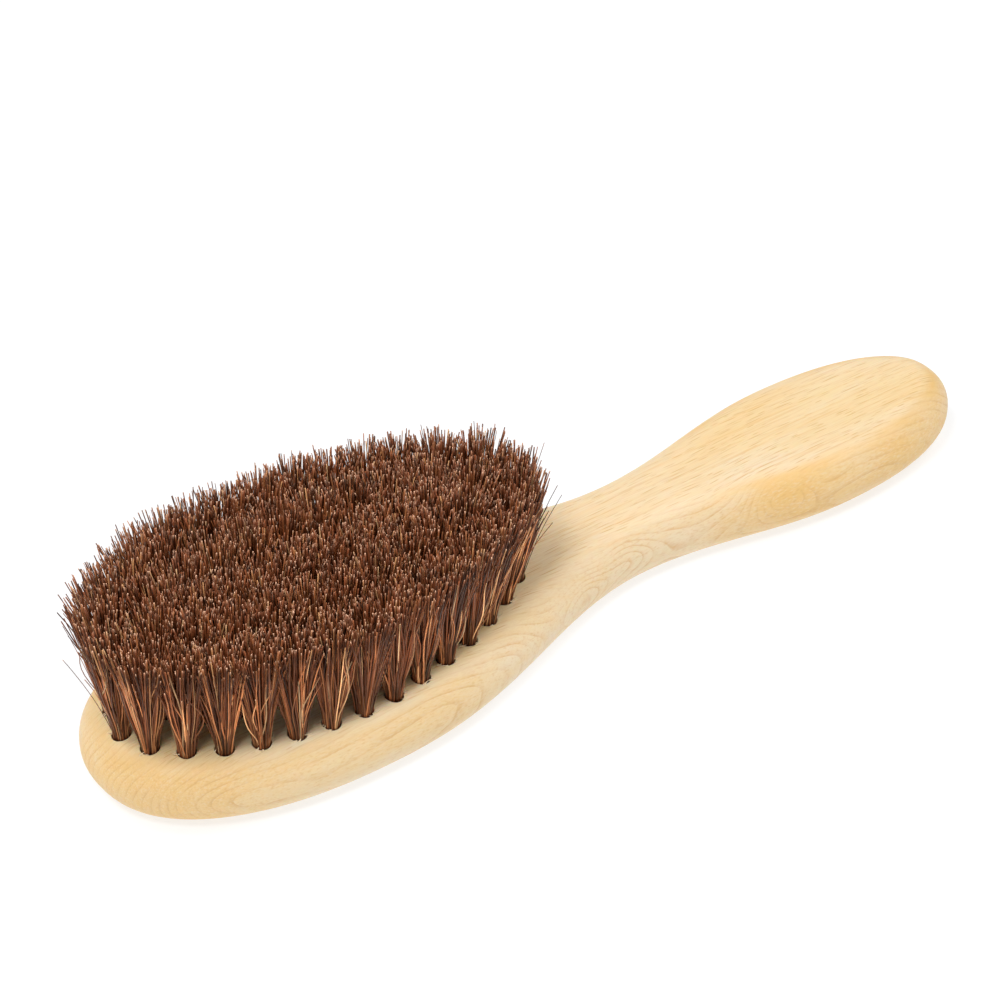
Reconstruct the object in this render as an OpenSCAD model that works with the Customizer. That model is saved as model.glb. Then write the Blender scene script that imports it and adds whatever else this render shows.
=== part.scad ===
// Clothes brush with a handle, lying on its flat back with the hair upwards.
// +X runs along the brush from the head to the handle, +Z points from the back to the hair tips.
// The origin is on the flat back, half-way along the length and on the centre line.

/* [Wood outline] */
// Overall length of the wooden body
length = 240; // [230:1:250]
// Widest part of the oval head
head_w = 63.6; // [62:0.2:68]
// Narrowest part of the waist between head and handle
waist_w = 23.8; // [23:0.2:28]
// Widest part of the handle
grip_w = 39; // [38:0.5:42]
// Distance from the head's end to its widest part
head_peak = 56.4; // [53:0.2:60]
// Distance from the head's end to the waist
waist_at = 144.2; // [141:0.2:150]
// Distance from the head's end to the handle's widest part
grip_peak = 198.4; // [195:0.2:202]

/* [Wood section] */
// Thickness of the board
thickness = 17; // [15:0.5:17]
// Height of the plain band left on the side between the two rounded edges
side_band = 0.8; // [0.6:0.1:3]

/* [Tuft holes] */
// Diameter of a tuft hole
hole_d = 4.6; // [4:0.1:5]
// Depth of a tuft hole from the hair side to the start of its drill point
hole_depth = 10; // [8:0.5:10]
// Depth of the conical drill point below that
drill_point = 1.2; // [0.6:0.1:1.2]
// Distance from the head's end to the first hole's centre
hole_inset = 7; // [6.8:0.1:8]

/* [Tuft layout] */
// Tufts in the outer oval
outer_count = 30; // [20:2:30]
// Tufts in the inner oval
inner_count = 20; // [12:2:20]
// Tufts in the centre row
centre_count = 8; // [4:1:8]
// Length of the outer oval of holes
outer_l = 103.6; // [101:0.2:104]
// Width of the outer oval of holes
outer_w = 50; // [47:0.5:50]
// Length of the inner oval of holes
inner_l = 82; // [81:0.5:84]
// Width of the inner oval of holes
inner_w = 24.5; // [24:0.5:26]
// Length of the centre row, between its end holes
centre_l = 59.5; // [57:0.5:60]
// How much narrower both ovals grow towards the handle
oval_taper = 0.18; // [0:0.01:0.2]

/* [Hair] */
// Height of the trimmed hair above the wood
hair_h = 28; // [24:1:32]
// Radius of one tuft at the trimmed tips
tip_r = 4.1; // [3:0.1:4.1]
// Outward lean of the outer oval's tufts, in degrees
outer_lean = 4; // [3:0.5:6]
// Extra lean of the outer oval's tufts that face the handle, in degrees
handle_lean = 3; // [0:0.5:6]
// Outward lean of the inner oval's tufts, in degrees
inner_lean = 2.5; // [0:0.5:3]

/* [Anchor wires] */
// Length of the flat wire that holds one tuft down
wire_l = 5.6; // [5.4:0.1:6]
// Height of the flat wire
wire_h = 1.6; // [1.2:0.1:2]
// Thickness of the flat wire
wire_t = 0.35; // [0.3:0.05:0.5]
// Height of the wire's lower edge above the hole's floor, where the folded hair passes under it
wire_lift = 0.8; // [0.6:0.1:1]

/* [Hidden] */
$fn = 48;
// Clearance between a tuft and its hole, and around an anchor wire
fit_gap = 0.02;
// How far a cutting tool runs past the surface that it cuts
overrun = 3;
// Exponents of the two rounded ends: 2 is an ellipse and higher is squarer
head_squareness = 2.22;
grip_squareness = 2.26;
// Above 1, the head stays full for longer before it runs in to the waist
shoulder_fullness = 1.18;
// Stations along each stretch of the outline
end_steps = 14;
shoulder_steps = 13;
neck_steps = 8;
grip_steps = 12;
// Steps round each quarter of the rounded edge
edge_steps = 5;
// Step in degrees when the ovals' lengths are added up
oval_step = 2;

edge_r = (thickness - side_band) / 2;
hole_r = hole_d / 2;
tip_z = thickness + hair_h;
oval_centre = hole_inset + outer_l / 2;
wood_colour = [0.93, 0.82, 0.61];
hair_colour = [0.33, 0.17, 0.12];
wire_colour = [0.72, 0.7, 0.66];

// Half the body's width at a distance u from the head's end.
function rounded_end(reach, half_w, squareness) =
    half_w * pow(1 - pow(reach, squareness), 1 / squareness);
function swept(half_a, half_b, t) = half_b + (half_a - half_b) * (1 + cos(180 * t)) / 2;
function half_width(u) =
    u <= head_peak ? rounded_end((head_peak - u) / head_peak, head_w / 2, head_squareness)
    : u <= waist_at ? swept(head_w / 2, waist_w / 2,
        pow((u - head_peak) / (waist_at - head_peak), shoulder_fullness))
    : u <= grip_peak ? swept(waist_w / 2, grip_w / 2, (u - waist_at) / (grip_peak - waist_at))
    : rounded_end(min(1, (u - grip_peak) / (length - grip_peak)), grip_w / 2, grip_squareness);

// Stations crowd together towards both rounded ends.
stations = concat(
    [for (i = [0:end_steps]) head_peak * (1 - cos(90 * i / end_steps))],
    [for (i = [1:shoulder_steps]) head_peak + (waist_at - head_peak) * i / shoulder_steps],
    [for (i = [1:neck_steps]) waist_at + (grip_peak - waist_at) * i / neck_steps],
    [for (i = [1:grip_steps]) grip_peak + (length - grip_peak) * sin(90 * i / grip_steps)]
);
last = len(stations) - 1;
ring_size = 2 * last;
edge_line = [for (u = stations) [u - length / 2, half_width(u)]];

// Outward direction of the outline at a station, straight along X at both ends.
function unit(v) = v / norm(v);
function outward(i) =
    i == 0 ? [-1, 0] : i == last ? [1, 0]
    : let (run = unit(edge_line[i + 1] - edge_line[i - 1])) [-run[1], run[0]];

// The outline drawn in by a distance, as one closed loop: up the +Y side and back down the -Y side.
function inset_ring(inset, z) =
    let (half = [for (i = [0:last]) edge_line[i] - inset * outward(i)])
    concat(
        [for (i = [0:last]) [half[i][0], half[i][1], z]],
        [for (i = [last - 1:-1:1]) [half[i][0], -half[i][1], z]]
    );

// Heights and insets of the loops, round the lower edge and then the upper one.
edge_loops = concat(
    [for (k = [0:edge_steps]) let (a = 90 * k / edge_steps)
        [edge_r * (1 - sin(a)), edge_r * (1 - cos(a))]],
    [for (k = [0:edge_steps]) let (a = 90 * k / edge_steps)
        [edge_r * (1 - cos(a)), thickness - edge_r * (1 - sin(a))]]
);
loop_count = len(edge_loops);

// The point that mirrors point i of a loop across the centre line.
function across(i) = (ring_size - i) % ring_size;
// Triangles between a loop and the next one up.
function band_faces(k) = [
    for (i = [0:ring_size - 1])
        let (a = k * ring_size + i, b = k * ring_size + (i + 1) % ring_size)
            each [[a, b, b + ring_size], [a, b + ring_size, a + ring_size]]
];
// Strips across a flat face. The end strips are single triangles.
function cap_faces(base) = [
    for (i = [0:last - 1])
        let (a = base + i, b = base + i + 1, c = base + across(i + 1), d = base + across(i))
            each concat(
                i == last - 1 ? [] : [[a, b, c]],
                i == 0 ? [] : [[a, i == last - 1 ? b : c, d]]
            )
];
function flipped(faces) = [for (f = faces) [f[2], f[1], f[0]]];

// Points along an oval of holes, evenly spaced and starting at the head's end.
function oval_point(a, oval_l, oval_w) = [
    oval_centre - length / 2 + oval_l / 2 * cos(a),
    oval_w / 2 * sin(a) * (1 - oval_taper * max(0, cos(a)))
];
function oval_lengths(oval_l, oval_w) = [
    for (
        a = 180, s = 0;
        a <= 540;
        s = s + norm(oval_point(a + oval_step, oval_l, oval_w) - oval_point(a, oval_l, oval_w)),
        a = a + oval_step
    ) [s, a]
];
// Each place is [x, y, direction of lean, angle of lean].
function oval_places(count, oval_l, oval_w, lean, extra_lean) =
    let (table = oval_lengths(oval_l, oval_w), total = table[len(table) - 1][0])
    [for (i = [0:count - 1])
        let (
            a = lookup(total * i / count, table),
            p = oval_point(a, oval_l, oval_w)
        )
        [p[0], p[1], atan2(sin(a) / oval_w, cos(a) / oval_l),
            lean + extra_lean * pow(max(0, cos(a)), 2)]
    ];

outer_places = oval_places(outer_count, outer_l, outer_w, outer_lean, handle_lean);
inner_places = oval_places(inner_count, inner_l, inner_w, inner_lean, 0);
centre_places = [
    for (i = [0:centre_count - 1])
        [oval_centre - length / 2 + centre_l * (i / (centre_count - 1) - 0.5), 0, 0, 0]
];
all_places = concat(outer_places, inner_places, centre_places);

function numbered(name, i) = str(name, i < 9 ? "_0" : "_", i + 1);
outer_names = [for (i = [0:outer_count - 1]) numbered("outer_tuft", i)];
inner_names = [for (i = [0:inner_count - 1]) numbered("inner_tuft", i)];
centre_names = [for (i = [0:centre_count - 1]) numbered("centre_tuft", i)];

// Puts a thing made round +Z at a hole's mouth, leaning outwards.
module at_hole(place) {
    translate([place[0], place[1], thickness])
        rotate([0, 0, place[2]])
            rotate([0, place[3], 0])
                children();
}

// The flat wire across the foot of a hole, enlarged all round by grow.
module anchor_bar(grow) {
    translate([0, 0, wire_lift + wire_h / 2 - hole_depth])
        cube([wire_t + 2 * grow, wire_l + 2 * grow, wire_h + 2 * grow], center = true);
}

// A blind drilled hole with its drill point.
module tuft_hole() {
    rotate_extrude()
        polygon([
            [0, -hole_depth - drill_point],
            [hole_r, -hole_depth],
            [hole_r, overrun],
            [0, overrun]
        ]);
}

module rounded_board() {
    points = [for (l = edge_loops) each inset_ring(l[0], l[1])];
    faces = concat(
        cap_faces(0),
        [for (k = [0:loop_count - 2]) each band_faces(k)],
        flipped(cap_faces((loop_count - 1) * ring_size))
    );
    polyhedron(points, flipped(faces));
}

module brush_body() {
    color(wood_colour)
        difference() {
            rounded_board();
            for (place = all_places)
                at_hole(place) {
                    tuft_hole();
                    anchor_bar(fit_gap);
                }
        }
}

module anchor_wires() {
    color(wire_colour)
        for (place = all_places)
            at_hole(place) anchor_bar(0);
}

// One bundle of hair: a plug folded round its anchor in the hole, and a flare above it cut flat at the tips.
module tuft(place) {
    foot_r = hole_r - fit_gap;
    flare_h = hair_h + overrun;
    flare_r = foot_r + (tip_r - foot_r) * flare_h / hair_h;
    color(hair_colour)
        difference() {
            at_hole(place)
                difference() {
                    rotate_extrude()
                        polygon([
                            [0, -hole_depth],
                            [foot_r, -hole_depth],
                            [foot_r, 0],
                            [flare_r, flare_h],
                            [0, flare_h]
                        ]);
                    anchor_bar(fit_gap);
                }
            translate([-length / 2, -head_w, tip_z])
                cube([length, 2 * head_w, 2 * overrun]);
        }
}

module outer_tuft(i) tuft(outer_places[i]);
module inner_tuft(i) tuft(inner_places[i]);
module centre_tuft(i) tuft(centre_places[i]);

brush_body();
anchor_wires();
for (i = [0:outer_count - 1]) outer_tuft(i);
for (i = [0:inner_count - 1]) inner_tuft(i);
for (i = [0:centre_count - 1]) centre_tuft(i);
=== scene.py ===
import math

import bmesh
import bpy
import numpy as np
from mathutils import Matrix, Vector
from mathutils.bvhtree import BVHTree


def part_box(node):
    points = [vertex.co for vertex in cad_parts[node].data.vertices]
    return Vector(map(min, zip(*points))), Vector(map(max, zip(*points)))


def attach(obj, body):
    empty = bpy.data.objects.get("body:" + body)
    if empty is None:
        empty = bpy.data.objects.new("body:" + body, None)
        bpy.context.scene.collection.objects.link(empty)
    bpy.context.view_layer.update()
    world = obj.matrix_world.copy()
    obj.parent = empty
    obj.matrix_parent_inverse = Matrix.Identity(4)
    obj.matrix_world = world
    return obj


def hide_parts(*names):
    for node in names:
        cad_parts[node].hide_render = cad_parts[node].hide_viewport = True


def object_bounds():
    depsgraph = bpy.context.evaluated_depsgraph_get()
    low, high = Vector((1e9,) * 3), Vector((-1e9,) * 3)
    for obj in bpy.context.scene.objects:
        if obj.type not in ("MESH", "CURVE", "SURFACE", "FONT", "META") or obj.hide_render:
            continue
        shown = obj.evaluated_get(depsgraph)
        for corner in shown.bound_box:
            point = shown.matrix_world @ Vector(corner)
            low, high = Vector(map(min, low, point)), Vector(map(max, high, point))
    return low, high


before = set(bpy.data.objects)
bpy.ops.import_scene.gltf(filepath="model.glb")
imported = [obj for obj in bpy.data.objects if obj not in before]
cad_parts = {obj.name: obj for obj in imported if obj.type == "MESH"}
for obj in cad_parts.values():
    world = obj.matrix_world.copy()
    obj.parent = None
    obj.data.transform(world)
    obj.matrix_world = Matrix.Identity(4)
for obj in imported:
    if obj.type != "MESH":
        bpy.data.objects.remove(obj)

CAD_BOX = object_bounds()
MM = 0.001
SEED = 20260

# Wooden body
OUTLINE_POINTS = 420
SPLINE_STEPS = 24
EDGE_STEPS = 14
FLAT_MARGIN = 0.6 * MM
HOLE_SIDES = 40
DRILL_OVERRUN = 3 * MM
SHARP_ANGLE = math.radians(38)
SAME_PLACE = 1e-6
RING_CROWD = 42

# Reading a tuft's CAD solid
FOOT_BAND = 0.5 * MM
TIP_BAND = 0.01 * MM
LEAST_LEAN = math.radians(0.5)

# Torn wood; a pair is a range, in millimetres where the name says so
CHIPS_AT_MOST = 4
CHIP_SPREAD = 1.9
CHIP_FROM_MOUTH = (0.98, 1.12)
CHIP_TURN = 0.35
CHIP_LENGTH_MM = (0.7, 2.3)
CHIP_WIDTH_MM = (0.25, 0.6)
CHIP_LIFT_MM = (0.2, 0.9)
CHIP_THICKNESS = 0.09 * MM
CHIP_POINT = 0.02 * MM
CHIP_SINK = 0.05 * MM
CHIP_STATIONS = 5
CHIP_BEHIND = 0.4

# Hair
HAIRS = 205
HAIR_SIDES = 5
HAIR_RINGS = 8
STRAY_RINGS = 14
HAIR_RADIUS = 0.148 * MM
HAIR_RADIUS_SPREAD = 0.03 * MM
FLYAWAY_RADIUS = 0.09 * MM
ROOT_DEPTH = 2.6 * MM
BUNDLE_FILL = 0.82
BUNDLE_STRAIGHT = 0.64
STEM_LOSS = 0.34
STRAY_STRAIGHT = 0.35
SPLAY = 6.9 * MM
SPLAY_ACROSS = 8.4 * MM
SPLAY_OUTWARD = 5.2 * MM
CORNER_SPLAY = 1.5 * MM
CORNER_SHIFT = 2.9 * MM
TIP_NOISE = 1.0 * MM
HAIR_BOW = 0.8 * MM
CLUMPS = 30
CLUMP_PULL = 0.4
CLUMP_PULL_RANGE = (0.4, 1.3)
CLUMP_STEP = 0.35 * MM
TUFT_SPREAD_RANGE = (0.92, 1.08)
TUFT_DRIFT = 0.5 * MM
DISC_SHAKE = 0.03
EVEN_SHARE = 0.6
EVEN_SPREAD = 0.5 * MM
UNEVEN_MM = (-4.5, 1.0)
THINNEST, THICKEST, THICKEST_STRAY = 0.08 * MM, 0.22 * MM, 0.2 * MM
ROOT_TO_TIP_TAPER = (1.05, 0.82)
CORNER_SPREAD = 0.4
GOLDEN_ANGLE = math.pi * (3 - math.sqrt(5))
SHADE_COLUMNS = 64
SHADE_BETA = (1.2, 1.6)
PALEST, PALEST_STRAY = 0.97, 0.999
SIDE_SHARE = 0.92
CUT_END_V = 0.97
SIDE_REFERENCE = (0.28, 0.96, 0.0)

# Hairs that leave their bundle; a pair is a range, in millimetres where the name says so
STRAYS_OUTER, STRAYS_INSIDE = 10, 3
STRAY_TURN = 1.2
STRAY_ROOT = (0.6, 1)
STRAY_REACH_MM = (2.5, 5.5)
STRAY_SCATTER = 1.8 * MM
STRAY_HEIGHT = (0.65, 1.0)
STRAY_BOW = 1.6 * MM
STRAY_SHADE, STRAY_SHADE_SPREAD = 0.82, 0.13
FLYAWAYS = 1
FLYAWAY_ENDS = 0.7
FLYAWAY_TURN = 0.3
FLYAWAY_ROOT = 0.9
FLYAWAY_REACH_MM = (6.0, 10.0)
FLYAWAY_HEIGHT = (0.75, 0.98)
FLYAWAY_BOW = 0.5 * MM
FLYAWAY_SHADE = (0.15, 0.85)

# Camera, in degrees and metres
VIEW_AZIMUTH = -35.93
VIEW_ELEVATION = 38.04
VIEW_ROLL = -0.4
VIEW_DISTANCE = 1.0058
VIEW_LENS = 155.84
AIM_FROM_CENTRE = Vector((1.7 * MM, 17.3 * MM))

# Stage and light
FLOOR_HALF = 4.0
FLOOR_GLOW = 0.7
FLOOR_TONES = ((0.318, 0.333, 0.352, 1), (0.338, 0.353, 0.372, 1))
DOME = 0.4
DOME_COLOUR = (1.0, 0.975, 0.945, 1)


# ---------------------------------------------------------------- small tools
def coordinates(mesh):
    """A mesh's vertices as an array of rows of XYZ."""
    co = np.empty(len(mesh.vertices) * 3)
    mesh.vertices.foreach_get("co", co)
    return co.reshape(-1, 3)


def link(name, mesh):
    piece = bpy.data.objects.new(name, mesh)
    bpy.context.scene.collection.objects.link(piece)
    return piece


def unit(vectors):
    """Rows of an array, or one vector, at length 1."""
    return vectors / np.linalg.norm(vectors, axis=-1, keepdims=True)


def srgb(red, green, blue):
    """A colour given in 0 to 255 display values, as the linear values that nodes use."""
    linear = [
        c / 12.92 if c <= 0.04045 else ((c + 0.055) / 1.055) ** 2.4
        for c in (red / 255, green / 255, blue / 255)
    ]
    return (*linear, 1)


class Shader:
    """A node material, with short calls that add a node and link it."""

    def __init__(self, name):
        self.material = bpy.data.materials.new(name)
        self.material.use_nodes = True
        self.tree = self.material.node_tree
        self.surface = self.tree.nodes["Principled BSDF"]

    def feed(self, socket, value):
        if isinstance(value, bpy.types.NodeSocket):
            self.tree.links.new(value, socket)
        else:
            socket.default_value = value

    def add(self, kind, settings=None, **inputs):
        node = self.tree.nodes.new("ShaderNode" + kind)
        for name, value in (settings or {}).items():
            setattr(node, name, value)
        for name, value in inputs.items():
            self.feed(node.inputs[name], value)
        return node

    def math(self, operation, *values):
        node = self.add("Math", {"operation": operation})
        for socket, value in zip(node.inputs, values):
            self.feed(socket, value)
        return node.outputs[0]

    def scaled(self, vector, scale):
        node = self.add("VectorMath", {"operation": "MULTIPLY"})
        self.feed(node.inputs[0], vector)
        self.feed(node.inputs[1], scale)
        return node.outputs[0]

    def shifted(self, vector, offset):
        node = self.add("VectorMath", {"operation": "ADD"})
        self.feed(node.inputs[0], vector)
        self.feed(node.inputs[1], offset)
        return node.outputs[0]

    def noise(self, vector, detail=2.0, roughness=0.5):
        node = self.add("TexNoise", Vector=vector, Scale=1.0, Detail=detail, Roughness=roughness)
        return node.outputs["Fac"]

    def fade(self, value, start, end, low=0.0, high=1.0):
        """Runs smoothly from low to high as value goes from start to end."""
        node = self.add("MapRange", {"interpolation_type": "SMOOTHSTEP"})
        for name, setting in (
            ("Value", value),
            ("From Min", start),
            ("From Max", end),
            ("To Min", low),
            ("To Max", high),
        ):
            self.feed(node.inputs[name], setting)
        return node.outputs["Result"]

    def mix(self, factor, first, second, blend="MIX"):
        node = self.add("Mix", {"data_type": "RGBA", "blend_type": blend})
        factor_input, first_input, second_input = node.inputs[0], node.inputs[6], node.inputs[7]
        self.feed(factor_input, factor)
        self.feed(first_input, first)
        self.feed(second_input, second)
        return node.outputs[2]

    def ramp(self, factor, stops):
        node = self.add("ValToRGB", Fac=factor)
        elements = node.color_ramp.elements
        while len(elements) < len(stops):
            elements.new(0.5)
        for element, (position, colour) in zip(elements, stops):
            element.position = position
            element.color = colour
        return node.outputs["Color"]

    def parts(self, vector):
        return self.add("SeparateXYZ", Vector=vector).outputs

    def joined(self, x, y, z):
        return self.add("CombineXYZ", X=x, Y=y, Z=z).outputs[0]


# ---------------------------------------------------------------- materials
PITH_Y = 75 * MM
PITH_Z = 30 * MM
RING_PITCH = 1.9 * MM
RING_WAVE = 8 * MM
GRAIN_DRIFT = 5 * MM
PALE = srgb(244, 225, 194)
CREAM = srgb(244, 219, 174)
AMBER = srgb(240, 198, 124)
FLECK = srgb(216, 173, 108)
LATE_WOOD = srgb(221, 175, 112)

# Swirls in the near side's grain: X, Z, half length, half height and strength, all in mm
FIGURES = ((58, 12.5, 7, 5, 8), (17, 11, 8, 5, 7), (2, 9, 9, 6, 9), (-101, 9, 14, 6, 6))


def ray_dashes(s, along, across, lane, pitch, length, half_width, share, seed):
    """Thin spindles in lanes along the grain, each lane with its own spacing and offset."""
    lanes = s.math("DIVIDE", across, lane)
    row = s.math("FLOOR", lanes)
    row_chance = s.add("TexWhiteNoise", {"noise_dimensions": "2D"}, Vector=s.joined(row, seed, 0.0))
    row_offset = s.math("MULTIPLY", row_chance.outputs["Value"], 9.0)
    start = s.math("ADD", s.math("DIVIDE", along, pitch), row_offset)
    cell = s.math("FLOOR", start)
    chance = s.add("TexWhiteNoise", {"noise_dimensions": "3D"}, Vector=s.joined(row, cell, seed))
    there, long, aside = s.parts(chance.outputs["Color"])[0:3]
    reach = s.math("MULTIPLY", s.math("ADD", s.math("MULTIPLY", long, 0.7), 0.3), length / 2)
    middle = s.math("ADD", s.math("MULTIPLY", aside, 0.3), 0.35)
    in_cell = s.math("SUBTRACT", s.math("FRACT", start), middle)
    from_x = s.math("DIVIDE", s.math("MULTIPLY", in_cell, pitch), reach)
    shift = s.math("ADD", s.math("MULTIPLY", long, 0.4), 0.3)
    in_lane = s.math("SUBTRACT", s.math("FRACT", lanes), shift)
    from_y = s.math("DIVIDE", s.math("MULTIPLY", in_lane, lane), half_width)
    away = s.math("ADD", s.math("MULTIPLY", from_x, from_x), s.math("MULTIPLY", from_y, from_y))
    strength = s.math("MULTIPLY", s.fade(away, 1.0, 0.2), s.math("LESS_THAN", there, share))
    return s.math("MULTIPLY", strength, s.math("ADD", s.math("MULTIPLY", aside, 0.5), 0.5))


def beech():
    """Satin beech: growth rings round a pith off to one side, ray flecks and drifting tone."""
    s = Shader("beech")
    place = s.add("TexCoord").outputs["Object"]
    x, y, z = s.parts(place)[0:3]
    facing = s.math("ABSOLUTE", s.parts(s.add("NewGeometry").outputs["Normal"])[2])
    on_flat = s.fade(facing, 0.8, 0.985)
    on_side = s.fade(facing, 0.97, 0.6)
    off_flat = s.fade(facing, 0.998, 0.85)

    # The grain wanders across the board by a millimetre or two.
    drift = s.noise(s.scaled(place, (9, 20, 20)), detail=1.0)
    across = s.math("ADD", y, s.math("MULTIPLY", s.math("SUBTRACT", drift, 0.5), GRAIN_DRIFT))
    grain = s.joined(x, across, z)

    # Slow changes of tone, long along the grain. The handle's sides are the most golden, and
    # then the head's end.
    tone = s.noise(s.scaled(s.shifted(place, (0.31, 0.07, 0.02)), (20, 75, 75)), detail=3.0)
    colour = s.mix(s.fade(tone, 0.3, 0.52), PALE, CREAM)
    handle_gold = s.fade(x, 30 * MM, 60 * MM, 0.0, 0.75)
    head_gold = s.fade(x, -80 * MM, -112 * MM, 0.0, 0.6)
    golden = s.math("ADD", handle_gold, head_gold)
    patches = s.noise(s.scaled(s.shifted(place, (0.11, 0.53, 0.2)), (45, 90, 130)), detail=3.0)
    golden = s.math("MULTIPLY", golden, s.fade(patches, 0.35, 0.62, 0.5, 1.1))
    side_amber = s.math("MULTIPLY", golden, off_flat)
    amber = s.math("ADD", s.fade(tone, 0.48, 0.75, 0.0, 0.3), side_amber)
    colour = s.mix(s.math("MINIMUM", amber, 1.0), colour, AMBER)

    # The neck is paler than the two ends.
    neck = s.math("MULTIPLY", s.fade(x, -40 * MM, 10 * MM), s.fade(x, 60 * MM, 30 * MM))
    colour = s.mix(s.math("MULTIPLY", neck, 0.6), colour, PALE)

    # Growth rings round a pith beside the board: lines on the flats, ovals and waves on the sides.
    swirl = s.noise(s.scaled(place, (30, 45, 60)), detail=1.5)
    pith_y = s.math("SUBTRACT", across, PITH_Y)
    pith_z = s.math("SUBTRACT", z, PITH_Z)
    squares = s.math("ADD", s.math("MULTIPLY", pith_y, pith_y), s.math("MULTIPLY", pith_z, pith_z))
    ring = s.math("ADD", s.math("SQRT", squares), s.math("MULTIPLY", swirl, RING_WAVE))
    for at_x, at_z, long, tall, rise in FIGURES:
        off_x = s.math("DIVIDE", s.math("SUBTRACT", x, at_x * MM), long * MM)
        off_z = s.math("DIVIDE", s.math("SUBTRACT", z, at_z * MM), tall * MM)
        away = s.math("ADD", s.math("MULTIPLY", off_x, off_x), s.math("MULTIPLY", off_z, off_z))
        hill = s.math("EXPONENT", s.math("MULTIPLY", away, -1.0))
        near_side = s.fade(y, 0.0, -8 * MM, 0.0, rise * MM)
        ring = s.math("ADD", ring, s.math("MULTIPLY", hill, near_side))
    phase = s.math("FRACT", s.math("DIVIDE", ring, RING_PITCH))
    edge = s.math("MULTIPLY", s.math("POWER", phase, 5.0), s.fade(phase, 1.0, 0.93))
    broken = s.fade(s.noise(s.scaled(place, (90, 160, 160)), detail=2.0), 0.35, 0.62, 0.25, 1.0)
    plain = s.math("ADD", 0.2, s.math("MULTIPLY", on_side, 0.75))
    late = s.math("MULTIPLY", s.math("MULTIPLY", edge, broken), plain)
    colour = s.mix(late, colour, LATE_WOOD)

    # Streaks that follow the grain.
    broad = s.noise(s.scaled(grain, (16, 700, 300)), detail=2.0)
    colour = s.mix(s.fade(broad, 0.42, 0.72, 0.0, 0.26), colour, AMBER)
    thin = s.noise(s.scaled(grain, (60, 2400, 900)), detail=1.0)
    thin_streaks = s.math("MULTIPLY", s.fade(thin, 0.52, 0.74, 0.0, 0.34), on_flat)
    colour = s.mix(thin_streaks, colour, LATE_WOOD)

    # Ray flecks: thin dashes on the flats, small scales on the sides.
    wobble = s.noise(s.scaled(place, (40, 120, 120)), detail=1.0)
    lanes = s.math("ADD", across, s.math("MULTIPLY", wobble, 2.5 * MM))
    long_dashes = ray_dashes(
        s,
        x,
        lanes,
        lane=0.95 * MM,
        pitch=8.0 * MM,
        length=7.5 * MM,
        half_width=0.14 * MM,
        share=0.6,
        seed=1.7,
    )
    short_dashes = ray_dashes(
        s,
        x,
        lanes,
        lane=0.6 * MM,
        pitch=6.0 * MM,
        length=4.5 * MM,
        half_width=0.11 * MM,
        share=0.5,
        seed=5.3,
    )
    dash = s.math("MAXIMUM", long_dashes, s.math("MULTIPLY", short_dashes, 0.6))
    dash = s.math("MULTIPLY", dash, s.math("ADD", s.math("MULTIPLY", on_flat, 0.85), 0.15))
    colour = s.mix(s.math("MULTIPLY", dash, 0.85), colour, FLECK)
    scales = s.noise(s.scaled(grain, (750, 3000, 2400)), detail=1.0)
    pale_scales = s.math("MULTIPLY", s.fade(scales, 0.5, 0.72, 0.0, 0.32), on_side)
    colour = s.mix(pale_scales, colour, PALE)
    dark_scales = s.math("MULTIPLY", s.fade(scales, 0.45, 0.28, 0.0, 0.3), on_side)
    colour = s.mix(dark_scales, colour, LATE_WOOD)

    # Fine fibre along the grain.
    fibre = s.noise(s.scaled(grain, (260, 5200, 5200)), detail=2.0, roughness=0.6)
    colour = s.mix(s.fade(fibre, 0.35, 0.75, 0.0, 0.18), colour, LATE_WOOD)

    s.feed(s.surface.inputs["Base Color"], colour)
    s.feed(s.surface.inputs["Roughness"], s.fade(s.math("ADD", fibre, dash), 0.3, 1.2, 0.5, 0.38))
    height = s.math("SUBTRACT", s.math("MULTIPLY", fibre, 0.5), dash)
    bump = s.add("Bump", Height=height, Strength=0.25, Distance=0.03 * MM)
    s.feed(s.surface.inputs["Normal"], bump.outputs["Normal"])
    s.surface.inputs["Specular IOR Level"].default_value = 0.4
    s.surface.inputs["Subsurface Weight"].default_value = 0.3
    s.surface.inputs["Subsurface Radius"].default_value = (1.0, 0.5, 0.22)
    s.surface.inputs["Subsurface Scale"].default_value = 2.5 * MM
    return s.material


def torn_wood():
    """Fresh pale wood fibre, torn up by the drill."""
    s = Shader("torn_wood")
    place = s.add("TexCoord").outputs["Object"]
    strand = s.noise(s.scaled(place, (3000, 3000, 3000)), detail=2.0)
    s.feed(s.surface.inputs["Base Color"], s.mix(strand, srgb(255, 243, 214), srgb(238, 204, 152)))
    s.surface.inputs["Roughness"].default_value = 0.7
    return s.material


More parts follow.
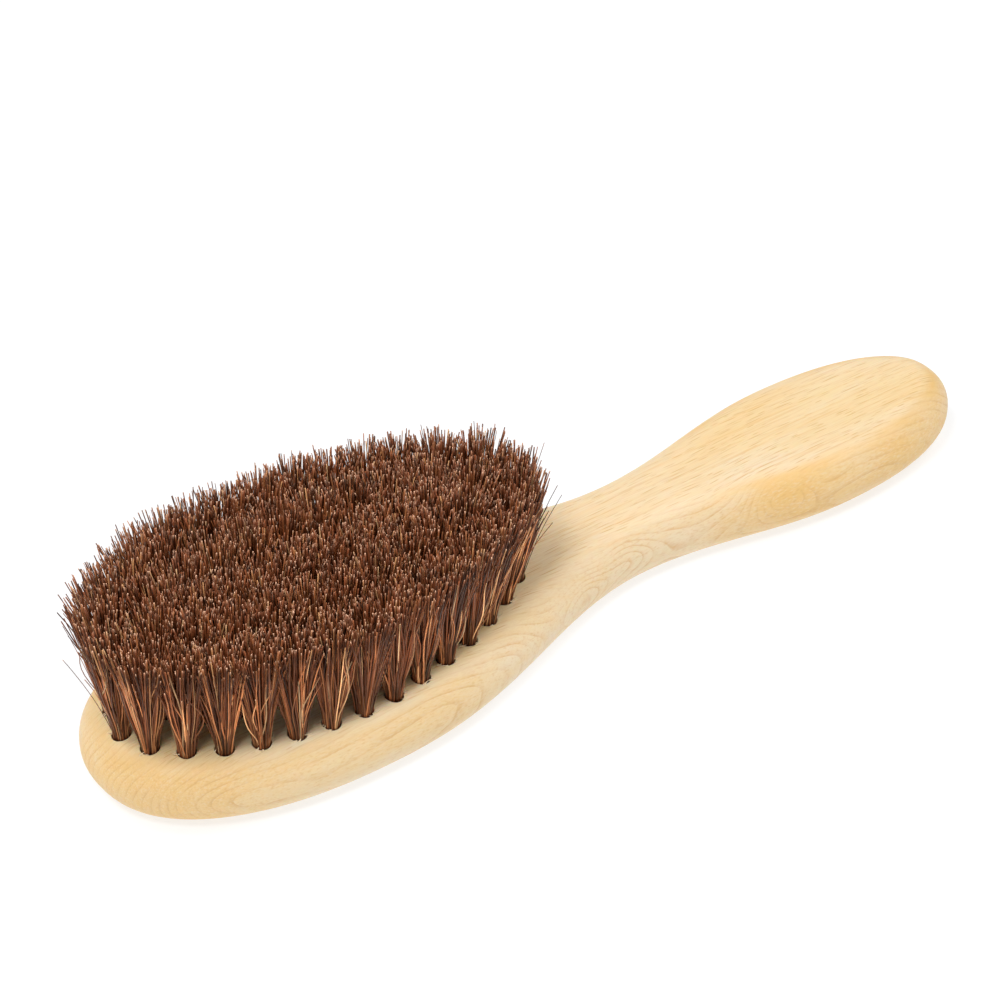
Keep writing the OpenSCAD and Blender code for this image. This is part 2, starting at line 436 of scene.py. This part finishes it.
def hair():
    """Brown hair. The map's u picks a strand's shade, and its v runs from root to tip."""
    s = Shader("brown_hair")
    u, v = s.parts(s.add("UVMap", {"uv_map": "OFBake"}).outputs["UV"])[0:2]
    column = s.math("FLOOR", s.math("MULTIPLY", u, float(SHADE_COLUMNS)))
    chance = s.add("TexWhiteNoise", {"noise_dimensions": "1D"}, W=column)
    shade = s.ramp(
        u,
        [
            (0.0, srgb(52, 27, 16)),
            (0.25, srgb(94, 52, 30)),
            (0.55, srgb(142, 83, 51)),
            (0.78, srgb(190, 126, 82)),
            (0.92, srgb(222, 174, 126)),
            (1.0, srgb(240, 208, 166)),
        ],
    )
    bright = s.fade(chance.outputs["Value"], 0.0, 1.0, 0.42, 1.3)
    shade = s.mix(1.0, shade, s.joined(bright, bright, bright), "MULTIPLY")

    # Painted light: the hairs are lightened towards half way up so the tufts' sides look lit; dull
    # near the wood, darkest and reddest at the tips.
    side_light_and_tip_tone = s.mix(s.fade(v, 0.08, 0.5), (1.05, 1.0, 0.95, 1), (1.85, 1.7, 1.52, 1))
    side_light_and_tip_tone = s.mix(s.fade(v, 0.7, 0.88), side_light_and_tip_tone, (0.74, 0.65, 0.55, 1))
    shade = s.mix(1.0, shade, side_light_and_tip_tone, "MULTIPLY")
    along_strand = s.joined(s.math("MULTIPLY", column, 3.7), s.math("MULTIPLY", v, 9.0), 0.0)
    streak = s.noise(along_strand, detail=2.0)
    gleam = s.fade(streak, 0.3, 0.7, 0.82, 1.18)
    shade = s.mix(1.0, shade, s.joined(gleam, gleam, gleam), "MULTIPLY")

    # Some hairs' last few millimetres glow redder. The cut ends, and the side's last stretch below
    # them, are painted pale pink-white on some hairs: painted glints.
    other_chance = s.parts(chance.outputs["Color"])
    redder = s.fade(other_chance[2], 0.3, 0.95, 0.0, 0.4)
    shade = s.mix(s.math("MULTIPLY", s.fade(v, 0.82, 0.92), redder), shade, srgb(204, 116, 76))
    cut = s.fade(v, SIDE_SHARE - 0.03, SIDE_SHARE + 0.02)
    pale = s.fade(other_chance[1], 0.35, 0.9, 0.05, 1.0)
    shade = s.mix(s.math("MULTIPLY", cut, pale), shade, srgb(255, 204, 170))

    s.feed(s.surface.inputs["Base Color"], shade)
    s.surface.inputs["Roughness"].default_value = 0.3
    s.surface.inputs["Specular IOR Level"].default_value = 0.42
    s.surface.inputs["Specular Tint"].default_value = (1.0, 0.8, 0.64, 1)
    return s.material


def drawn_wire():
    """Flat drawn steel wire: fine lines along it and a dull shine."""
    s = Shader("drawn_wire")
    place = s.add("TexCoord").outputs["Object"]
    line = s.noise(s.scaled(place, (4000, 400, 4000)), detail=2.0)
    s.feed(s.surface.inputs["Base Color"], s.mix(line, srgb(150, 148, 144), srgb(190, 186, 180)))
    s.feed(s.surface.inputs["Roughness"], s.fade(line, 0.2, 0.8, 0.3, 0.5))
    s.surface.inputs["Metallic"].default_value = 1.0
    return s.material


def studio_floor():
    s = Shader("studio_floor")
    place = s.add("TexCoord").outputs["Object"]
    mottle = s.noise(s.scaled(place, (6, 6, 6)))
    s.feed(s.surface.inputs["Base Color"], s.mix(mottle, *FLOOR_TONES))
    s.surface.inputs["Roughness"].default_value = 0.9
    s.surface.inputs["Specular IOR Level"].default_value = 0.1
    s.surface.inputs["Emission Color"].default_value = (1, 1, 1, 1)
    s.surface.inputs["Emission Strength"].default_value = FLOOR_GLOW
    return s.material


# ---------------------------------------------------------------- what the frame says
body_low, body_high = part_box("brush_body")
WOOD_TOP = body_high.z
HAIR_TOP = CAD_BOX[1].z
TRIM = HAIR_TOP - WOOD_TOP

# The head's far corner, where outer tufts splay more, and the stretch towards the handle, where
# tufts stay closed for longer above the wood
HEAD_ZONE_END = body_low.x + 58 * MM
HEAD_ZONE_FADE = 26 * MM
FAR_SIDE_START = 0.5
FAR_SIDE_FADE = 0.35
STEM_ZONE_START = body_low.x + 64 * MM
STEM_ZONE_FADE = 26 * MM

body_points = coordinates(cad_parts["brush_body"].data)


class Tuft:
    """A tuft's hole and lean, read from its CAD solid."""

    def __init__(self, node):
        points = np.unique(coordinates(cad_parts[node].data).round(7), axis=0)
        foot_points = points[points[:, 2] < points[:, 2].min() + FOOT_BAND]
        tip_points = points[points[:, 2] > HAIR_TOP - TIP_BAND]
        foot = foot_points.mean(axis=0)
        tip = (tip_points.min(axis=0) + tip_points.max(axis=0)) / 2
        self.node = node
        self.axis = unit(tip - foot)
        self.mouth = foot + self.axis * ((WOOD_TOP - foot[2]) / self.axis[2])
        self.depth = float(np.linalg.norm(self.mouth - foot))
        self.radius = float(np.linalg.norm(np.cross(foot_points - foot, self.axis), axis=1).max())
        self.row = node.split("_")[0]
        flat_lean = np.array([self.axis[0], self.axis[1], 0.0])
        leans = np.linalg.norm(flat_lean) > LEAST_LEAN
        self.out = unit(flat_lean) if leans else np.array([1.0, 0.0, 0.0])
        self.across = np.cross((0.0, 0.0, 1.0), self.out)
        towards_head = np.clip((HEAD_ZONE_END - self.mouth[0]) / HEAD_ZONE_FADE, 0, 1)
        towards_far_side = np.clip((self.out[1] - FAR_SIDE_START) / FAR_SIDE_FADE, 0, 1)
        self.corner = float(towards_head * towards_far_side) if self.row == "outer" else 0.0
        self.stem = float(np.clip((self.mouth[0] - STEM_ZONE_START) / STEM_ZONE_FADE, 0, 1))


tufts = [Tuft(name) for name in sorted(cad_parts) if "_tuft_" in name]


# ---------------------------------------------------------------- the wooden body
def widest_ring():
    """The height of the CAD body's widest level, and its outline's points in order round it."""
    heights, counts = np.unique(body_points[:, 2].round(6), return_counts=True)
    crowded = heights[(counts > RING_CROWD) & (heights < WOOD_TOP / 2)]
    level = crowded.max()
    at_level = np.abs(body_points[:, 2] - level) < SAME_PLACE
    ring = np.unique(body_points[at_level][:, :2].round(7), axis=0)
    upper = ring[ring[:, 1] > -SAME_PLACE]
    upper = upper[np.argsort(upper[:, 0])]
    return float(level), np.concatenate([upper, upper[-2:0:-1] * (1, -1)])


def smooth_loop(points, count):
    """count evenly spaced points on the closed cubic spline through points."""
    total = len(points)
    after = np.linalg.norm(np.roll(points, -1, axis=0) - points, axis=1)
    before = np.roll(after, 1)
    system = np.zeros((total, total))
    rows = np.arange(total)
    system[rows, rows - 1] = 1 / before
    system[rows, (rows + 1) % total] = 1 / after
    system[rows, rows] = 2 / before + 2 / after
    back = (points - np.roll(points, 1, axis=0)) / before[:, None] ** 2
    forward = (np.roll(points, -1, axis=0) - points) / after[:, None] ** 2
    slope = np.linalg.solve(system, 3 * (back + forward))
    t = np.linspace(0, 1, SPLINE_STEPS, endpoint=False)[None, :, None]
    start, end = points[:, None], np.roll(points, -1, axis=0)[:, None]
    pull_start = slope[:, None] * after[:, None, None]
    pull_end = np.roll(slope, -1, axis=0)[:, None] * after[:, None, None]
    fine = (
        (2 * t**3 - 3 * t**2 + 1) * start
        + (t**3 - 2 * t**2 + t) * pull_start
        + (3 * t**2 - 2 * t**3) * end
        + (t**3 - t**2) * pull_end
    ).reshape(-1, 2)
    closed = np.concatenate([fine, fine[:1]])
    travelled = np.concatenate([[0], np.cumsum(np.linalg.norm(np.diff(closed, axis=0), axis=1))])
    wanted = travelled[-1] * np.arange(count) / count
    return np.stack([np.interp(wanted, travelled, closed[:, k]) for k in (0, 1)], axis=1)


def rounded_board():
    """The body without its holes: its outline swept round a half-round edge, with two flats."""
    edge_radius, ring = widest_ring()
    outline = smooth_loop(ring, OUTLINE_POINTS)
    run = unit(np.roll(outline, -1, axis=0) - np.roll(outline, 1, axis=0))
    outward = np.stack([-run[:, 1], run[:, 0]], axis=1)
    turn = np.linspace(0, math.pi / 2, EDGE_STEPS + 1)
    lower = [(edge_radius * (1 - math.sin(a)), edge_radius * (1 - math.cos(a))) for a in turn]
    upper = [(inset, WOOD_TOP - height) for inset, height in reversed(lower)]
    flat_inset = edge_radius + FLAT_MARGIN
    levels = [(flat_inset, 0.0), *lower, *upper, (flat_inset, WOOD_TOP)]
    co = np.concatenate(
        [
            np.column_stack([outline - inset * outward, np.full(OUTLINE_POINTS, height)])
            for inset, height in levels
        ]
    )
    index = np.arange(len(co)).reshape(len(levels), OUTLINE_POINTS)
    beside = np.roll(index, -1, axis=1)
    quads = np.stack([index[:-1], index[1:], beside[1:], beside[:-1]], axis=-1).reshape(-1, 4)
    faces = [*quads.tolist(), index[0].tolist(), index[-1][::-1].tolist()]
    mesh = bpy.data.meshes.new("beech_body")
    mesh.from_pydata(co.tolist(), [], faces)
    mesh.validate()
    return mesh


def drill_holes(board):
    """Cuts every tuft's hole into the board, as CAD does."""
    drill = bmesh.new()
    for tuft in tufts:
        turn = Vector((0, 0, 1)).rotation_difference(Vector(tuft.axis)).to_matrix().to_4x4()
        middle = tuft.mouth + tuft.axis * (DRILL_OVERRUN - tuft.depth) / 2
        bmesh.ops.create_cone(
            drill,
            cap_ends=True,
            segments=HOLE_SIDES,
            radius1=tuft.radius,
            radius2=tuft.radius,
            depth=tuft.depth + DRILL_OVERRUN,
            matrix=Matrix.Translation(middle) @ turn,
        )
    drill_mesh = bpy.data.meshes.new("drill")
    drill.to_mesh(drill_mesh)
    drill.free()
    drill_piece = link("drill", drill_mesh)
    cut = board.modifiers.new("holes", "BOOLEAN")
    cut.object = drill_piece
    cut.operation = "DIFFERENCE"
    cut.solver = "EXACT"
    bake_modifiers(board)
    bpy.data.objects.remove(drill_piece)


def bake_modifiers(piece):
    """Replaces a piece's mesh by what its modifiers make of it."""
    graph = bpy.context.evaluated_depsgraph_get()
    made = bpy.data.meshes.new_from_object(piece.evaluated_get(graph), depsgraph=graph)
    made.name = piece.name
    piece.modifiers.clear()
    piece.data = made


def smooth_by_face_area(piece):
    """Smooth shading that keeps the flats flat and the hole mouths sharp."""
    piece.data.polygons.foreach_set("use_smooth", [True] * len(piece.data.polygons))
    piece.data.set_sharp_from_angle(angle=SHARP_ANGLE)
    weighted = piece.modifiers.new("normals", "WEIGHTED_NORMAL")
    weighted.keep_sharp = True
    bake_modifiers(piece)


board_mesh = rounded_board()
board_surface = BVHTree.FromPolygons(
    [v.co for v in board_mesh.vertices], [p.vertices[:] for p in board_mesh.polygons]
)
body = link("beech_body", board_mesh)
drill_holes(body)
smooth_by_face_area(body)
body.data.materials.clear()
body.data.materials.append(beech())
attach(body, "root")
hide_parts("brush_body")


# ---------------------------------------------------------------- torn wood at the hole mouths
def wood_height(x, y):
    """The height of the board's upper face at a point."""
    hit = board_surface.ray_cast(Vector((x, y, 2 * WOOD_TOP)), Vector((0, 0, -1)))[0]
    return hit.z if hit else 0.0


def chip(tuft, rng):
    """One chip's corners, four at each station from its rooted end to its raised point."""
    around = math.atan2(tuft.out[1], tuft.out[0]) + rng.uniform(-CHIP_SPREAD, CHIP_SPREAD)
    radial = np.array([math.cos(around), math.sin(around)])
    along = unit(np.array([1.0, rng.normal(0, CHIP_TURN)])) * rng.choice([-1, 1])
    length = rng.uniform(*CHIP_LENGTH_MM) * MM
    width = rng.uniform(*CHIP_WIDTH_MM) * MM
    lift = rng.uniform(*CHIP_LIFT_MM) * MM
    start = tuft.mouth[:2] + radial * tuft.radius * rng.uniform(*CHIP_FROM_MOUTH)
    ground = wood_height(*start) - CHIP_SINK
    corners = []
    for t in np.linspace(0, 1, CHIP_STATIONS):
        centre = start + along * length * (t - CHIP_BEHIND)
        # Widest a quarter of the way along, and drawn out to a point.
        swell = 0.4 + 0.6 * math.sin(math.pi * (t + 0.15) / 1.3)
        half = width / 2 * (1 - t) ** 0.7 * swell + CHIP_POINT
        sideways = np.array([-along[1], along[0]]) * half
        base = ground + lift * t * t
        for side, rise in ((-1, 0), (1, 0), (1, CHIP_THICKNESS), (-1, CHIP_THICKNESS)):
            corners.append((*(centre + side * sideways), base + rise))
    return corners


def torn_chips(rng):
    """Small curled flakes of wood that the drill raised at the mouths of the outer holes."""
    verts, faces = [], []
    for tuft in tufts:
        if tuft.row != "outer":
            continue
        for _ in range(rng.integers(1, CHIPS_AT_MOST + 1)):
            base = len(verts)
            verts += chip(tuft, rng)
            last = base + 4 * (CHIP_STATIONS - 1)
            for a in range(base, last, 4):
                for j in range(4):
                    faces.append((a + j, a + (j + 1) % 4, a + 4 + (j + 1) % 4, a + 4 + j))
            faces.append((base + 3, base + 2, base + 1, base))
            faces.append((last, last + 1, last + 2, last + 3))
    mesh = bpy.data.meshes.new("torn_chips")
    mesh.from_pydata(verts, [], faces)
    mesh.validate()
    return mesh


chips = link("torn_chips", torn_chips(np.random.default_rng(SEED)))
chips.data.materials.append(torn_wood())
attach(chips, "root")


# ---------------------------------------------------------------- the hair
def disc_points(count, rng):
    """Points spread evenly over a unit disc, a little shaken."""
    k = np.arange(count) + 0.5
    reach = np.sqrt(k / count)
    angle = GOLDEN_ANGLE * k + rng.uniform(0, 2 * math.pi)
    points = np.stack([reach * np.cos(angle), reach * np.sin(angle)], axis=1)
    return points + rng.normal(0, DISC_SHAKE, points.shape)


def splayed(tuft, disc):
    """Where hairs from places on the unit disc end at the trim height, from the tuft's axis."""
    outward = SPLAY_OUTWARD if tuft.row == "outer" else SPLAY_ACROSS
    reach = np.where(disc[:, :1] > 0, outward + CORNER_SPLAY * tuft.corner, SPLAY_ACROSS)
    sideways = np.full_like(reach, SPLAY * (1 + CORNER_SPREAD * tuft.corner))
    return disc * np.concatenate([reach, sideways], axis=1) + (CORNER_SHIFT * tuft.corner, 0)


def centre_lines(tuft, root, tip, tip_height, bow, bow_turn, rings, straight):
    """Hairs as curves, tight out of the hole and then flaring, each with a slight bow."""
    count = len(root)
    reach = np.linspace(0, 1, rings - 1)[None, :, None]
    flare = straight * reach + (1 - straight) * reach**2
    bow_way = np.stack([np.cos(bow_turn), np.sin(bow_turn)], axis=1)[:, None, :]
    plan = root[:, None] + (tip - root)[:, None] * flare
    plan = plan + bow[:, None, None] * np.sin(math.pi * reach) ** 2 * bow_way
    height = tip_height[:, None, None] * reach
    above = tuft.mouth + tuft.axis * (height / tuft.axis[2])
    above = above + plan[:, :, :1] * tuft.out + plan[:, :, 1:] * tuft.across
    below = tuft.mouth - tuft.axis * ROOT_DEPTH + root[:, :1] * tuft.out + root[:, 1:] * tuft.across
    return np.concatenate([below.reshape(count, 1, 3), above], axis=1)


def bundle(tuft, rng):
    """A tuft's ordinary hairs: centre lines, shades and radii."""
    disc = disc_points(HAIRS, rng)
    root = disc * tuft.radius * BUNDLE_FILL
    clump = disc_points(CLUMPS, rng)
    nearest = np.linalg.norm(disc[:, None] - clump[None], axis=2).argmin(axis=1)
    pull = CLUMP_PULL * rng.uniform(*CLUMP_PULL_RANGE, (HAIRS, 1))
    gathered = disc + (clump[nearest] - disc) * pull
    tip = splayed(tuft, gathered) * rng.uniform(*TUFT_SPREAD_RANGE) + rng.normal(0, TUFT_DRIFT, 2)
    tip = tip + rng.normal(0, TIP_NOISE, tip.shape)
    uneven = np.where(
        rng.random(HAIRS) < EVEN_SHARE,
        rng.normal(0, EVEN_SPREAD, HAIRS),
        rng.uniform(*UNEVEN_MM, HAIRS) * MM,
    )
    clump_height = rng.normal(0, CLUMP_STEP, CLUMPS)[nearest]
    lowered = (tip**2).sum(axis=1) / (2 * TRIM)
    lines = centre_lines(
        tuft,
        root,
        tip,
        TRIM + uneven + clump_height - lowered,
        rng.normal(0, HAIR_BOW, HAIRS),
        rng.uniform(0, 2 * math.pi, HAIRS),
        HAIR_RINGS,
        BUNDLE_STRAIGHT - STEM_LOSS * tuft.stem,
    )
    shade = np.clip(rng.beta(*SHADE_BETA, HAIRS), 0, PALEST)
    radius = np.clip(rng.normal(HAIR_RADIUS, HAIR_RADIUS_SPREAD, HAIRS), THINNEST, THICKEST)
    return lines, shade, radius


def strays(tuft, rng):
    """Hairs that bend out of the bundle, most of them on the outside of the brush."""
    count = STRAYS_OUTER if tuft.row == "outer" else STRAYS_INSIDE
    turn = rng.normal(0, STRAY_TURN, count)
    way = np.stack([np.cos(turn), np.sin(turn)], axis=1)
    root = way * tuft.radius * BUNDLE_FILL * rng.uniform(*STRAY_ROOT, (count, 1))
    reach_mm = rng.uniform(*STRAY_REACH_MM, (count, 1))
    tip = way * reach_mm * MM + rng.normal(0, STRAY_SCATTER, (count, 2))
    height = TRIM * rng.uniform(*STRAY_HEIGHT, count)
    bow = rng.normal(0, STRAY_BOW, count)
    bow_turn = rng.uniform(0, 2 * math.pi, count)
    lines = centre_lines(tuft, root, tip, height, bow, bow_turn, STRAY_RINGS, STRAY_STRAIGHT)
    shade = np.clip(rng.normal(STRAY_SHADE, STRAY_SHADE_SPREAD, count), 0, PALEST_STRAY)
    radius = np.clip(rng.normal(HAIR_RADIUS, HAIR_RADIUS_SPREAD, count), THINNEST, THICKEST_STRAY)
    return lines, shade, radius


def flyaways(tuft, rng):
    """Long thin hairs that stand well out from the two ends of the outer row."""
    count = FLYAWAYS
    turn = rng.normal(0, FLYAWAY_TURN, count)
    way = np.stack([np.cos(turn), np.sin(turn)], axis=1)
    root = way * tuft.radius * BUNDLE_FILL * FLYAWAY_ROOT
    tip = way * rng.uniform(*FLYAWAY_REACH_MM, (count, 1)) * MM
    height = TRIM * rng.uniform(*FLYAWAY_HEIGHT, count)
    bow = rng.normal(0, FLYAWAY_BOW, count)
    bow_turn = rng.uniform(0, 2 * math.pi, count)
    lines = centre_lines(tuft, root, tip, height, bow, bow_turn, STRAY_RINGS, BUNDLE_STRAIGHT)
    shade = rng.uniform(*FLYAWAY_SHADE, count)
    return lines, shade, np.full(count, FLYAWAY_RADIUS)


def tubes(lines, radius, shade):
    """Closed tubes round centre lines: points, faces and each corner's place on the map."""
    hairs, rings = lines.shape[:2]
    tangent = unit(np.gradient(lines, axis=1))
    side = unit(np.cross(tangent, SIDE_REFERENCE))
    other = np.cross(side, tangent)
    angle = 2 * math.pi * np.arange(HAIR_SIDES) / HAIR_SIDES
    taper = np.linspace(*ROOT_TO_TIP_TAPER, rings)
    reach = radius[:, None, None, None] * taper[None, :, None, None]
    sideways = side[:, :, None] * np.cos(angle)[:, None]
    round_it = sideways + other[:, :, None] * np.sin(angle)[:, None]
    co = lines[:, :, None] + reach * round_it
    index = np.arange(hairs * rings * HAIR_SIDES).reshape(hairs, rings, HAIR_SIDES)
    beside = np.roll(index, -1, axis=2)
    quads = np.stack([index[:, :-1], beside[:, :-1], beside[:, 1:], index[:, 1:]], axis=-1)
    column = (np.floor(shade * SHADE_COLUMNS) + 0.5) / SHADE_COLUMNS
    level = SIDE_SHARE * np.arange(rings) / (rings - 1)
    low = np.broadcast_to(level[:-1, None], (rings - 1, HAIR_SIDES))
    high = np.broadcast_to(level[1:, None], (rings - 1, HAIR_SIDES))
    quad_v = np.broadcast_to(np.stack([low, low, high, high], axis=-1), quads.shape)
    quad_u = np.broadcast_to(column[:, None, None, None], quads.shape)
    tips, roots = index[:, -1], index[:, 0, ::-1]
    cap_u = np.repeat(column, HAIR_SIDES)
    corners = np.concatenate([quads.ravel(), tips.ravel(), roots.ravel()])
    sizes = np.concatenate([np.full(quads.size // 4, 4), np.full(2 * hairs, HAIR_SIDES)])
    smooth = sizes == 4
    u = np.concatenate([quad_u.ravel(), cap_u, cap_u])
    v = np.concatenate([quad_v.ravel(), np.full(tips.size, CUT_END_V), np.zeros(roots.size)])
    return co.reshape(-1, 3), corners, sizes, smooth, np.stack([u, v], axis=1)


def mesh_of_tubes(name, sets):
    """One mesh of several sets of tubes."""
    points, corners, sizes, smooth, places = [], [], [], [], []
    count = 0
    for co, corner, size, soft, place in sets:
        points.append(co)
        corners.append(corner + count)
        sizes.append(size)
        smooth.append(soft)
        places.append(place)
        count += len(co)
    corners, sizes = np.concatenate(corners), np.concatenate(sizes)
    mesh = bpy.data.meshes.new(name)
    mesh.vertices.add(count)
    mesh.vertices.foreach_set("co", np.concatenate(points).ravel())
    mesh.loops.add(len(corners))
    mesh.loops.foreach_set("vertex_index", corners)
    mesh.polygons.add(len(sizes))
    mesh.polygons.foreach_set("loop_start", np.concatenate([[0], np.cumsum(sizes)[:-1]]))
    mesh.polygons.foreach_set("use_smooth", np.concatenate(smooth))
    layer = mesh.uv_layers.new(name="OFBake")
    layer.uv.foreach_set("vector", np.concatenate(places).astype(np.float32).ravel())
    mesh.update(calc_edges=True)
    mesh.validate()
    return mesh


hair_material = hair()
for number, tuft in enumerate(tufts):
    rng = np.random.default_rng([SEED, number])
    sets = []
    at_an_end = tuft.row == "outer" and abs(tuft.out[0]) > FLYAWAY_ENDS
    kinds = [bundle, strays, flyaways] if at_an_end else [bundle, strays]
    for kind in kinds:
        lines, shade, radius = kind(tuft, rng)
        sets.append(tubes(lines, radius, shade))
    piece = link("hair_" + tuft.node, mesh_of_tubes("hair_" + tuft.node, sets))
    piece.data.materials.append(hair_material)
    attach(piece, "root")
    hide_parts(tuft.node)


# ---------------------------------------------------------------- the anchor wires
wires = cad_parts["anchor_wires"]
wires.data.materials.clear()
wires.data.materials.append(drawn_wire())


# ---------------------------------------------------------------- stage, light and camera
def floor():
    mesh = bpy.data.meshes.new("studio_floor")
    corners = [(x * FLOOR_HALF, y * FLOOR_HALF, 0) for x, y in ((-1, -1), (1, -1), (1, 1), (-1, 1))]
    mesh.from_pydata(corners, [], [(0, 1, 2, 3)])
    piece = link("studio_floor", mesh)
    piece.data.materials.append(studio_floor())


def dome(strength):
    world = bpy.data.worlds.new("studio")
    world.use_nodes = True
    background = world.node_tree.nodes["Background"]
    background.inputs["Color"].default_value = DOME_COLOUR
    background.inputs["Strength"].default_value = strength
    bpy.context.scene.world = world


def direction(azimuth, elevation):
    """From the brush towards a place at this azimuth and elevation; azimuth 0 lies along -Y."""
    a, e = math.radians(azimuth), math.radians(elevation)
    return Vector((math.sin(a) * math.cos(e), -math.cos(a) * math.cos(e), math.sin(e)))


def softbox(name, azimuth, elevation, distance, size, power):
    """A square area light aimed at the brush, placed in degrees and metres, power in watts."""
    light = bpy.data.lights.new(name, "AREA")
    light.size = size
    light.energy = power
    lamp = bpy.data.objects.new(name, light)
    bpy.context.scene.collection.objects.link(lamp)
    back = direction(azimuth, elevation)
    lamp.location = back * distance
    lamp.rotation_mode = "QUATERNION"
    lamp.rotation_quaternion = back.to_track_quat("Z", "Y")


def camera():
    back = direction(VIEW_AZIMUTH, VIEW_ELEVATION)
    centre = (CAD_BOX[0] + CAD_BOX[1]) / 2
    aim = Vector((centre.x + AIM_FROM_CENTRE.x, centre.y + AIM_FROM_CENTRE.y, WOOD_TOP))
    data = bpy.data.cameras.new("camera")
    data.sensor_width = 36
    data.lens = VIEW_LENS
    data.clip_start, data.clip_end = 0.01, 20
    piece = bpy.data.objects.new("camera", data)
    bpy.context.scene.collection.objects.link(piece)
    level = Vector((0, 0, 1)).cross(back).normalized()
    upward = back.cross(level)
    roll = Matrix.Rotation(math.radians(VIEW_ROLL), 3, "Z")
    turned = Matrix((level, upward, back)).transposed() @ roll
    piece.matrix_world = Matrix.Translation(aim + back * VIEW_DISTANCE) @ turned.to_4x4()
    bpy.context.scene.camera = piece


floor()
dome(DOME)
softbox("key", azimuth=-60, elevation=60, distance=1.6, size=0.4, power=10.0)
softbox("right", azimuth=58, elevation=62, distance=1.6, size=0.7, power=7.8)
softbox("back", azimuth=-140, elevation=44, distance=1.8, size=0.7, power=7.2)
camera()
bpy.context.scene.view_settings.view_transform = "Standard"
